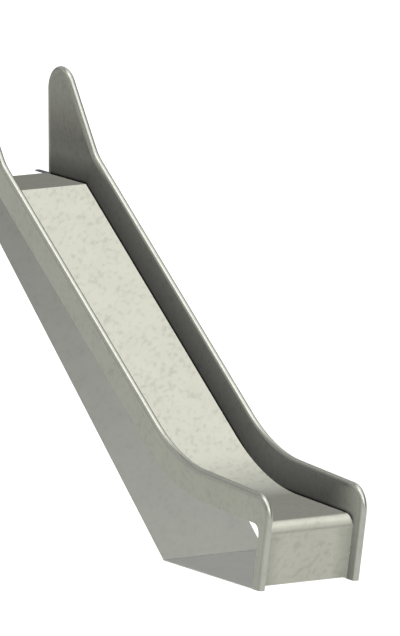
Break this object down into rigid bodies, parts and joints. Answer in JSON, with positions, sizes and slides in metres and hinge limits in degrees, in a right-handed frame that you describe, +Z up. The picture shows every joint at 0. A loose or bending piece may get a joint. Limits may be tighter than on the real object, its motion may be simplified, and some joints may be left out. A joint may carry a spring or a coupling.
{
  "type": "embankment slide",
  "caption": "Playground slide of bare stainless steel sheet that lies on an embankment, with a level start platform, high rounded ears and a curved run-out.",
  "frame": {"origin": "middle of the ground plate's underside", "axes": "+Z up, +X across the chute, and the slide runs down towards -Y, so the start platform is at +Y"},
  "size_m": [0.57, 3.2991, 2.1665],
  "materials": {
    "chute_steel": "pale satin stainless steel with a faint cloudy mottle",
    "side_steel": "satin stainless steel with a cloudy olive-grey mottle",
    "rim_steel": "smooth rolled stainless steel with a bright highlight",
    "plate_steel": "smooth neutral grey steel plate",
    "anchor_steel": "dark bluish grey steel"
  },
  "bodies": {
    "root": {"start_platform": "chute_steel", "slope_bed": "chute_steel", "curve_bed": "chute_steel", "runout_bed": "chute_steel", "nose_apron": "chute_steel", "ground_plate": "plate_steel", "sloping_plate": "plate_steel", "anchor_bar_left": "anchor_steel", "inner_cheek_ear_left": "side_steel", "outer_band_ear_left": "side_steel", "rim_ear_left": "rim_steel", "inner_cheek_slope_left": "side_steel", "outer_band_slope_left": "side_steel", "rim_slope_left": "rim_steel", "inner_cheek_curve_left": "side_steel", "outer_band_curve_left": "side_steel", "rim_curve_left": "rim_steel", "inner_cheek_runout_left": "side_steel", "outer_band_runout_left": "side_steel", "rim_runout_left": "rim_steel", "inner_cheek_front_left": "side_steel", "outer_band_front_left": "side_steel", "rim_front_left": "rim_steel", "anchor_bar_right": "anchor_steel", "inner_cheek_ear_right": "side_steel", "outer_band_ear_right": "side_steel", "rim_ear_right": "rim_steel", "inner_cheek_slope_right": "side_steel", "outer_band_slope_right": "side_steel", "rim_slope_right": "rim_steel", "inner_cheek_curve_right": "side_steel", "outer_band_curve_right": "side_steel", "rim_curve_right": "rim_steel", "inner_cheek_runout_right": "side_steel", "outer_band_runout_right": "side_steel", "rim_runout_right": "rim_steel", "inner_cheek_front_right": "side_steel", "outer_band_front_right": "side_steel", "rim_front_right": "rim_steel"}
  },
  "joints": []
}
